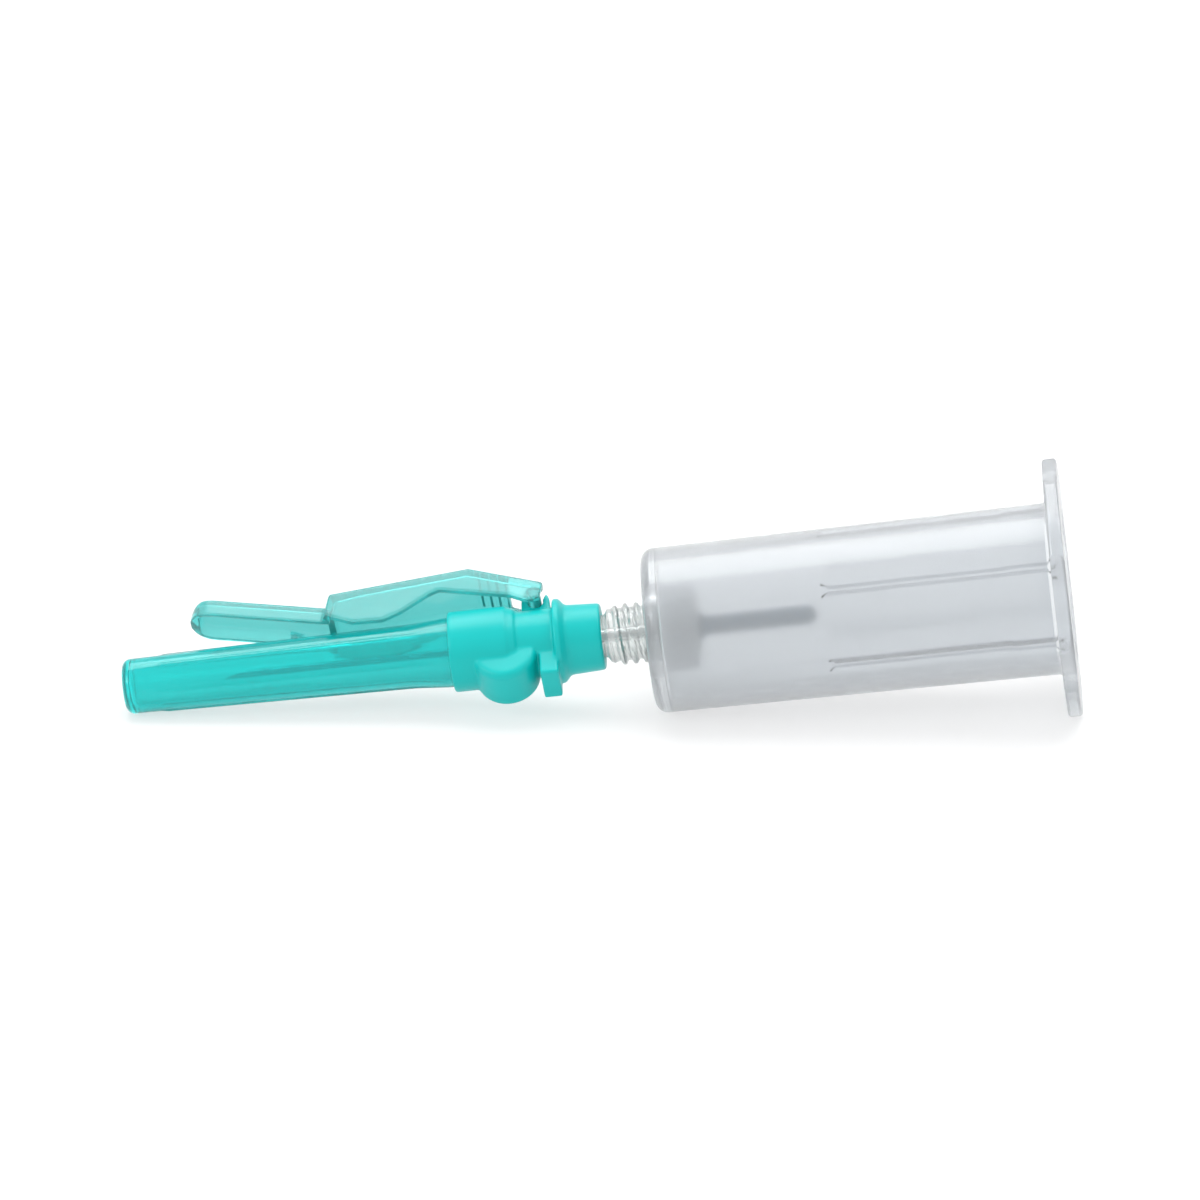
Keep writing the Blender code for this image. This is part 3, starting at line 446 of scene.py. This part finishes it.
# Tube holder: one thin-walled injection moulding of milky polypropylene. A boss in its front wall takes
# the hub's thread, a low ledge and six ribs guide the tube, and the flange has four flats cut off it.
HOLDER_END = 0.0497
FLANGE_FACE = 0.0480
FLANGE_RADIUS = 0.0152
FLANGE_HALF_HEIGHT = 0.01455
FLANGE_HALF_WIDTH = 0.0127
FLANGE_EDGE = 0.0004
BARREL_FRONT = 0.0097
BARREL_REAR = 0.0101
FRONT_EDGE = 0.0014
FLANGE_ROOT = 0.0006
FRONT_WALL = 0.0017
MOUTH_RADIUS = 0.0090
LEDGE_RADIUS = 0.00825
BOSS_BORE = 0.00375
BOSS_END = 0.0056
RIB_COUNT = 6
RIB_TURN = 84.0
RIB_HALF_ANGLE = math.radians(6.3)
RIB_START = 0.0210
RIB_END = 0.0485
RIB_RAMP = 0.0008
RIB_RISE = 0.0003
BORE_INSIDE = 0.0083
BORE_OUTSIDE = 0.00905


def rounded(centre, radius, start, end, steps):
    """Points (place, radius) along an arc, angles in degrees from the needle's line."""
    angles = [math.radians(start + (end - start) * step / steps) for step in range(steps + 1)]
    return [(centre[0] + radius * math.cos(angle), centre[1] + radius * math.sin(angle))
            for angle in angles]


milky_polypropylene = moulded_plastic(
    "milky_polypropylene", light=(0.84, 0.865, 0.885), deep=(0.80, 0.825, 0.85), smoothest=0.18,
    dullest=0.28, mark_size=260.0, clearness=0.78, soak_colour=(0.86, 0.92, 0.95), soak_density=15.0)

barrel = [(0.0, 0.0042)]
barrel += rounded((FRONT_EDGE, BARREL_FRONT - FRONT_EDGE), FRONT_EDGE, 180, 90, 10)
barrel += [(FLANGE_FACE - FLANGE_ROOT, BARREL_REAR)]
barrel += rounded((FLANGE_FACE - FLANGE_ROOT, BARREL_REAR + FLANGE_ROOT), FLANGE_ROOT, 270, 360, 5)[1:]
barrel += rounded((FLANGE_FACE + FLANGE_EDGE, FLANGE_RADIUS - FLANGE_EDGE), FLANGE_EDGE, 180, 90, 4)
barrel += rounded((HOLDER_END - FLANGE_EDGE, FLANGE_RADIUS - FLANGE_EDGE), FLANGE_EDGE, 90, 0, 4)
barrel += [(HOLDER_END, 0.0095), (HOLDER_END - 0.0002, 0.0092), (HOLDER_END - 0.0005, MOUTH_RADIUS),
           (0.0426, MOUTH_RADIUS), (0.0423, 0.0087), (0.0072, 0.0086), (0.0068, LEDGE_RADIUS),
           (0.0023, LEDGE_RADIUS), (0.0019, 0.0081), (FRONT_WALL, 0.00765), (FRONT_WALL, 0.0053),
           (0.0019, 0.00505), (0.0054, 0.00495), (BOSS_END, 0.0048), (BOSS_END, 0.00405),
           (0.0053, BOSS_BORE), (0.0004, BOSS_BORE)]
holder = turned(barrel, 144, closed=True)
for place in (RIB_START, RIB_END):
    bmesh.ops.bisect_plane(holder, geom=holder.verts[:] + holder.edges[:] + holder.faces[:],
                           plane_co=(place, 0, 0), plane_no=(1, 0, 0))
for rib in range(RIB_COUNT):
    middle = math.radians(RIB_TURN + 60.0 * rib)
    land = []
    for face in holder.faces:
        spot = face.calc_center_median()
        swing = (math.atan2(spot.z, spot.y) - middle + math.pi) % math.tau - math.pi
        on_bore = BORE_INSIDE < math.hypot(spot.y, spot.z) < BORE_OUTSIDE
        if on_bore and RIB_START < spot.x < RIB_END and abs(swing) < RIB_HALF_ANGLE:
            land.append(face)
    bmesh.ops.inset_region(holder, faces=land, thickness=RIB_RAMP, depth=RIB_RISE, use_even_offset=True)
for way in ((0, 1, 0), (0, -1, 0), (0, 0, 1), (0, 0, -1)):
    reach = FLANGE_HALF_WIDTH if way[1] else FLANGE_HALF_HEIGHT
    cut = bmesh.ops.bisect_plane(holder, geom=holder.verts[:] + holder.edges[:] + holder.faces[:],
                                 plane_co=Vector(way) * reach, plane_no=way, clear_outer=True)
    bmesh.ops.edgeloop_fill(holder, edges=[item for item in cut["geom_cut"]
                                           if isinstance(item, bmesh.types.BMEdge)])
bmesh.ops.recalc_face_normals(holder, faces=holder.faces)
milky_holder = put_in_place(holder, "milky_holder", needle_line, milky_polypropylene,
                            "needle_and_holder", "tube_holder", sharp=55.0)
flat_faces = milky_holder.modifiers.new("flat_faces", "WEIGHTED_NORMAL")
flat_faces.keep_sharp = True


# Safety collar: one moulding of deep teal polypropylene, snapped over the seat of the hub. Its skirt
# takes the cap, the round pad and the tab are for the thumb, and the open hook holds the shield's bar.
COLLAR_SEAT = 0.00265
COLLAR_SLEEVE = 0.00395
COLLAR_REAR = -0.0054
SKIRT_FRONT = -0.0235
SKIRT_RADIUS = 0.00475
SKIRT_BORE = 0.0043
WEB_FACE = -0.0164
RING_START = -0.0110
RING_RADIUS = 0.0050
PAD_RADIUS = 0.0038
PAD_REACH = 0.0066
PAD_PLACE = -0.0170
PAD_HALF = 0.0030
PAD_EDGE = 0.0007
TAB_HALF = 0.0025
PIVOT_BACK = 0.0131
PIVOT_RADIUS = 0.0050
HOOK_BORE = 0.0009
HOOK_RADIUS = 0.0017
HOOK_HALF = 0.0016
HOOK_MOUTH_TURN = math.radians(-60.0)
CUT_HALF = 0.0040
CUT_OVERRUN = 0.001
MILLIMETRE = 0.001
SKIN_GRAIN = 0.13
lean_turn = Matrix.Rotation(-SHIELD_LEAN, 4, "X")


def loose_shape(bm, name, turn=None):
    """A shape that is only joined to another or cut out of it."""
    if turn is not None:
        bmesh.ops.transform(bm, matrix=turn, verts=bm.verts)
    bmesh.ops.recalc_face_normals(bm, faces=bm.faces)
    mesh = bpy.data.meshes.new(name)
    bm.to_mesh(mesh)
    bm.free()
    shape = bpy.data.objects.new(name, mesh)
    bpy.context.collection.objects.link(shape)
    return shape


def bar(place, height, radius, half_width, steps, edge=0):
    """A round bar across the needle's line, its ends softened where an edge is given."""
    bm = bmesh.new()
    bmesh.ops.create_cone(bm, cap_ends=True, segments=steps, radius1=radius, radius2=radius,
                          depth=half_width * 2)
    if edge:
        ends = [item for item in bm.edges if abs(item.verts[0].co.z - item.verts[1].co.z) < 1e-9]
        bmesh.ops.bevel(bm, geom=ends, offset=edge, offset_type="OFFSET", segments=4, profile=0.5,
                        affect="EDGES", material=-1)
    bmesh.ops.rotate(bm, verts=bm.verts, matrix=Matrix.Rotation(math.pi / 2, 3, "X"))
    bmesh.ops.translate(bm, verts=bm.verts, vec=(place, 0, height))
    return bm


def brick(low, high):
    """A block between two corners."""
    bm = bmesh.new()
    bmesh.ops.create_cube(bm, size=1.0)
    bmesh.ops.scale(bm, vec=[b - a for a, b in zip(low, high)], verts=bm.verts)
    bmesh.ops.translate(bm, vec=[(a + b) / 2 for a, b in zip(low, high)], verts=bm.verts)
    return bm


def one_moulding(steps, relax):
    """Join and cut the shapes in turn, then flow their edges together as a moulding's are."""
    base = steps[0][1]
    for operation, shape in steps[1:]:
        change = base.modifiers.new(shape.name, "BOOLEAN")
        change.operation = operation
        change.solver = "EXACT"
        change.object = shape
    joined = bpy.data.meshes.new_from_object(base.evaluated_get(bpy.context.evaluated_depsgraph_get()))
    for _, shape in steps:
        bpy.data.objects.remove(shape, do_unlink=True)
    joined.transform(Matrix.Scale(1 / MILLIMETRE, 4))
    carrier = bpy.data.objects.new("carrier", joined)
    bpy.context.collection.objects.link(carrier)
    fine = carrier.modifiers.new("fine", "REMESH")
    fine.mode = "VOXEL"
    fine.voxel_size = SKIN_GRAIN
    skin = bpy.data.meshes.new_from_object(carrier.evaluated_get(bpy.context.evaluated_depsgraph_get()))
    bpy.data.objects.remove(carrier, do_unlink=True)
    bm = bmesh.new()
    bm.from_mesh(skin)
    for _ in range(relax):
        bmesh.ops.smooth_vert(bm, verts=bm.verts, factor=0.5, use_axis_x=True, use_axis_y=True,
                              use_axis_z=True)
    bmesh.ops.scale(bm, vec=(MILLIMETRE, MILLIMETRE, MILLIMETRE), verts=bm.verts)
    bmesh.ops.recalc_face_normals(bm, faces=bm.faces)
    return bm


deep_teal = moulded_plastic(
    "deep_teal_polypropylene", light=(0.0, 0.66, 0.64), deep=(0.0, 0.60, 0.58), smoothest=0.28,
    dullest=0.40, mark_size=420.0, clearness=0.30, soak_colour=(0.0, 0.985, 0.98), soak_density=700.0,
    shine=0.25)

collar_body = [(SKIRT_FRONT, SKIRT_RADIUS - 0.0002), (SKIRT_FRONT + 0.0002, SKIRT_RADIUS),
               (WEB_FACE - 0.0002, SKIRT_RADIUS), (WEB_FACE, SKIRT_RADIUS - 0.0002),
               (WEB_FACE + 0.0008, COLLAR_SLEEVE + 0.0004), (WEB_FACE + 0.0010, COLLAR_SLEEVE),
               (RING_START, COLLAR_SLEEVE), (RING_START, RING_RADIUS),
               (RING_START + 0.0007, RING_RADIUS), (RING_START + 0.0014, COLLAR_SLEEVE + 0.0002),
               (COLLAR_REAR - 0.0002, COLLAR_SLEEVE), (COLLAR_REAR, COLLAR_SLEEVE - 0.0002),
               (COLLAR_REAR, COLLAR_SEAT), (WEB_FACE, COLLAR_SEAT), (WEB_FACE, SKIRT_BORE - 0.0003),
               (WEB_FACE - 0.0003, SKIRT_BORE), (SKIRT_FRONT + 0.0002, SKIRT_BORE),
               (SKIRT_FRONT, SKIRT_BORE + 0.0002)]
collar_hollow = [(SKIRT_FRONT - CUT_OVERRUN, 0.0), (SKIRT_FRONT - CUT_OVERRUN, SKIRT_BORE),
                 (WEB_FACE - 0.0001, SKIRT_BORE), (WEB_FACE - 0.0001, COLLAR_SEAT),
                 (COLLAR_REAR + CUT_OVERRUN, COLLAR_SEAT), (COLLAR_REAR + CUT_OVERRUN, 0.0)]
round_pad = bar(PAD_PLACE, PAD_RADIUS - PAD_REACH, PAD_RADIUS, PAD_HALF, 64, edge=PAD_EDGE)
tab = brick((RING_START - 0.0019, -TAB_HALF, -0.0063), (RING_START + 0.0003, TAB_HALF, -0.0033))
hook = bar(-PIVOT_BACK, PIVOT_RADIUS, HOOK_RADIUS, HOOK_HALF, 40)
hook_foot = brick((-PIVOT_BACK - HOOK_RADIUS, -HOOK_HALF, 0.0033),
                  (-PIVOT_BACK + HOOK_RADIUS, HOOK_HALF, PIVOT_RADIUS))
hook_eye = bar(-PIVOT_BACK, PIVOT_RADIUS, HOOK_BORE, CUT_HALF, 32)
hook_mouth = brick((0.0, -CUT_HALF, -0.0006), (0.0030, CUT_HALF, 0.0006))
mouth_turn = (lean_turn @ Matrix.Translation((-PIVOT_BACK, 0, PIVOT_RADIUS))
              @ Matrix.Rotation(HOOK_MOUTH_TURN, 4, "Y"))
collar = one_moulding([
    ("UNION", loose_shape(turned(collar_body, 96, closed=True), "collar_body")),
    ("UNION", loose_shape(round_pad, "round_pad", lean_turn)),
    ("UNION", loose_shape(tab, "tab", lean_turn)),
    ("UNION", loose_shape(hook, "hook", lean_turn)),
    ("UNION", loose_shape(hook_foot, "hook_foot", lean_turn)),
    ("DIFFERENCE", loose_shape(hook_eye, "hook_eye", lean_turn)),
    ("DIFFERENCE", loose_shape(hook_mouth, "hook_mouth", mouth_turn)),
    ("DIFFERENCE", loose_shape(turned(collar_hollow, 96, closed=False), "collar_hollow")),
], relax=10)
put_in_place(collar, "teal_collar", needle_line, deep_teal, "needle_and_holder", "safety_collar",
             sharp=180.0)


# Safety shield: one moulding of paler teal polypropylene, a trough with a narrow round-ended tongue
# and a high hump, which leans back from the cap as it was left. Its cross bar snaps into the collar's
# hook, ridges on its back give the thumb a grip, and a barb inside catches the needle.
SHIELD_REST = math.radians(12.5)
SHIELD_TIP = -0.0409
SHIELD_STEP = -0.0246
SHIELD_HUMP = -0.0083
SHIELD_END = 0.0009
STEP_LENGTH = 0.0005
TONGUE_HALF = 0.0026
TONGUE_WALL = 0.0006
TONGUE_END_HALF = 0.0006
TONGUE_END_WALL = 0.0007
WIDE_HALF = 0.0040
WIDE_WALL = 0.0008
OUTER_EDGE = 0.0006
INNER_EDGE = 0.0003
RIM_OVERRUN = 0.004
HAIR = 1e-6
HOOK_ROOM_HALF = 0.0025
RIDGE_COUNT = 4
FIRST_RIDGE = 0.9
RIDGE_SPACING = 0.0011
RIDGE_RADIUS = 0.00035
RIDGE_HALF = 0.0031
RIDGE_TOP = 0.0075
ROOF_FALL = 0.0012 / 0.0092
BAR_RADIUS = 0.00075
BAR_HALF = 0.0036
roof_line = [(SHIELD_TIP, 0.0009), (SHIELD_TIP + 0.0010, 0.0014), (SHIELD_STEP, 0.0014),
             (SHIELD_STEP + STEP_LENGTH, 0.0024), (SHIELD_HUMP, 0.0076), (SHIELD_END, 0.0064)]
rim_line = [(SHIELD_STEP, -0.0010), (SHIELD_STEP + STEP_LENGTH, -0.0009),
            (SHIELD_STEP + 0.0040, -0.0016), (-0.0170, -0.0009), (-0.0150, 0.0005), (-0.0122, 0.0033),
            (-0.0112, 0.0040), (-0.0027, 0.0040), (-0.0009, 0.0035), (0.0, 0.0035),
            (SHIELD_END, 0.00395)]
hinge_line = needle_line @ Matrix.Rotation(-SHIELD_LEAN, 4, "X")
shield_line = (hinge_line @ Matrix.Translation((-PIVOT_BACK, 0, PIVOT_RADIUS))
               @ Matrix.Rotation(SHIELD_REST, 4, "Y") @ Matrix.Translation((0, 0, -PIVOT_RADIUS)))


def along_line(place, points):
    """Height of a line of straight stretches at one place."""
    for (near, low), (far, high) in zip(points, points[1:]):
        if place <= far:
            return low + (high - low) * max(0.0, place - near) / (far - near)
    return points[-1][1]


def trough(hollow):
    """The shield's outside, or the hollow under its roof, bridged from one section to the next."""
    wide_start = SHIELD_STEP + STEP_LENGTH
    stations = [SHIELD_TIP + TONGUE_HALF * share for share in (0.0, 0.04, 0.12, 0.25, 0.45, 0.7, 1.0)]
    stations += [place for place, _ in rim_line] + [SHIELD_HUMP]
    bm = bmesh.new()
    ring = None
    for place in sorted(set(stations)):
        wide = place > SHIELD_STEP + HAIR
        half = WIDE_HALF if wide else TONGUE_HALF
        wall = WIDE_WALL if wide else TONGUE_WALL
        ahead = place - SHIELD_TIP
        if ahead < TONGUE_HALF:
            half = max(math.sqrt(TONGUE_HALF ** 2 - (TONGUE_HALF - ahead) ** 2), TONGUE_END_HALF)
        top = along_line(place, roof_line)
        rim = along_line(place, rim_line)
        edge = min(OUTER_EDGE, half * 0.8)
        if hollow:
            if ahead < TONGUE_END_WALL:
                continue
            half -= wall
            top -= wall
            rim -= RIM_OVERRUN
            edge = min(INNER_EDGE, half * 0.8)
            if abs(place - SHIELD_STEP) < HAIR or abs(place - wide_start) < HAIR:
                place += WIDE_WALL
            if place >= SHIELD_END:
                place += CUT_OVERRUN
        outline = [(-half, rim)] + rounded((-half + edge, top - edge), edge, 180, 90, 5)
        outline += rounded((half - edge, top - edge), edge, 90, 0, 5) + [(half, rim)]
        points = [bm.verts.new((place, across, height)) for across, height in outline]
        edges = [bm.edges.new(pair) for pair in zip(points, points[1:] + points[:1])]
        if ring is None:
            bmesh.ops.edgeloop_fill(bm, edges=edges)
        else:
            bmesh.ops.bridge_loops(bm, edges=ring + edges)
        ring = edges
    bmesh.ops.edgeloop_fill(bm, edges=ring)
    return bm


def needle_barb():
    """The springy barb inside the tongue that the needle snaps past."""
    bm = bmesh.new()
    corners = [(-0.0290, 0.0022), (-0.0260, 0.0022), (-0.0260, 0.0018), (-0.0284, 0.0007),
               (-0.0290, 0.0007)]
    face = bm.faces.new([bm.verts.new((place, across, -0.0006)) for place, across in corners])
    grown = bmesh.ops.extrude_face_region(bm, geom=[face])
    raised = [item for item in grown["geom"] if isinstance(item, bmesh.types.BMVert)]
    bmesh.ops.translate(bm, verts=raised, vec=(0, 0, 0.0005))
    return bm


pale_teal = moulded_plastic(
    "pale_teal_polypropylene", light=(0.33, 0.75, 0.74), deep=(0.27, 0.70, 0.69), smoothest=0.12,
    dullest=0.22, mark_size=380.0, clearness=0.79, soak_colour=(0.0, 0.985, 0.98), soak_density=650.0,
    shine=0.35)

hook_room = brick((-0.0035, -HOOK_ROOM_HALF, 0.0010), (0.0019, HOOK_ROOM_HALF, 0.0086))
shield_steps = [("UNION", loose_shape(trough(hollow=False), "shield_outside")),
                ("DIFFERENCE", loose_shape(trough(hollow=True), "shield_hollow")),
                ("DIFFERENCE", loose_shape(hook_room, "hook_room"))]
for ridge in range(RIDGE_COUNT):
    back = RIDGE_SPACING * (ridge + FIRST_RIDGE)
    across = bar(SHIELD_HUMP + back, RIDGE_TOP - ROOF_FALL * back, RIDGE_RADIUS, RIDGE_HALF, 16)
    shield_steps.append(("UNION", loose_shape(across, f"thumb_ridge_{ridge + 1}")))
shield_steps.append(("UNION", loose_shape(needle_barb(), "needle_barb")))
shield_steps.append(("UNION", loose_shape(bar(0.0, PIVOT_RADIUS, BAR_RADIUS, BAR_HALF, 32),
                                          "hinge_bar")))
shield = one_moulding(shield_steps, relax=4)
put_in_place(shield, "teal_shield", shield_line, pale_teal, "shield", "safety_shield",
             sharp=180.0)


# Needle cap: a long closed tube of saturated teal polypropylene, pushed over the hub's nose inside the
# collar's skirt. Its wall tapers for the mould, six low ribs give grip, and a dimple marks the gate.
CAP_TIP = -0.06235
CAP_BASE = -0.0170
CAP_FLARE = -0.0280
CAP_FOOT = -0.0241
CAP_EDGE = 0.0010
CAP_FOOT_RADIUS = 0.0041
CAP_FOOT_BORE = 0.0033
CAP_FLOOR = CAP_TIP + 0.0008
CAP_SKIN = 0.0031
CAP_RIB_START = CAP_TIP + 0.0045
CAP_RIB_END = CAP_FLARE + 0.0001
CAP_RIB_HEIGHT = 0.00015
CAP_RIB_HALF = 6.0

cap_teal = moulded_plastic(
    "cap_teal_polypropylene", light=(0.03, 0.81, 0.80), deep=(0.01, 0.76, 0.75), smoothest=0.08,
    dullest=0.16, mark_size=420.0, clearness=0.84, soak_colour=(0.0, 0.985, 0.98), soak_density=500.0,
    shine=0.25)

cap_profile = [(CAP_TIP + 0.00025, 0.0), (CAP_TIP + 0.00022, 0.0005), (CAP_TIP + 0.00015, 0.0008),
               (CAP_TIP + 0.00005, 0.0012), (CAP_TIP, 0.0016)]
cap_profile += rounded((CAP_TIP + CAP_EDGE, 0.00225), CAP_EDGE, 180, 90, 10)[1:]
cap_profile += [(CAP_TIP + 0.0040, 0.00328), (CAP_TIP + 0.0050, 0.00330), (-0.0450, 0.00346),
                (CAP_FLARE, 0.0037), (CAP_FOOT, CAP_FOOT_RADIUS), (CAP_BASE - 0.0002, CAP_FOOT_RADIUS),
                (CAP_BASE, 0.0040), (CAP_BASE, 0.0035), (CAP_BASE - 0.0002, CAP_FOOT_BORE),
                (CAP_FOOT, CAP_FOOT_BORE), (CAP_FLARE, 0.0029), (CAP_TIP + 0.0017, 0.00247),
                (CAP_TIP + 0.0012, 0.0023), (CAP_TIP + 0.0009, 0.0019), (CAP_FLOOR, 0.0012),
                (CAP_FLOOR, 0.0)]
cap = turned(cap_profile, 144, closed=False)
for point in cap.verts:
    radius = math.hypot(point.co.y, point.co.z)
    if radius > CAP_SKIN and CAP_RIB_START < point.co.x < CAP_RIB_END:
        sixth = (math.degrees(math.atan2(point.co.z, point.co.y)) + 30.0) % 60.0 - 30.0
        if abs(sixth) < CAP_RIB_HALF:
            swell = CAP_RIB_HEIGHT * math.cos(math.radians(sixth * 90.0 / CAP_RIB_HALF))
            point.co.yz *= (radius + swell) / radius
put_in_place(cap, "teal_cap", needle_line, cap_teal, "cap", "needle_cap", sharp=50.0)
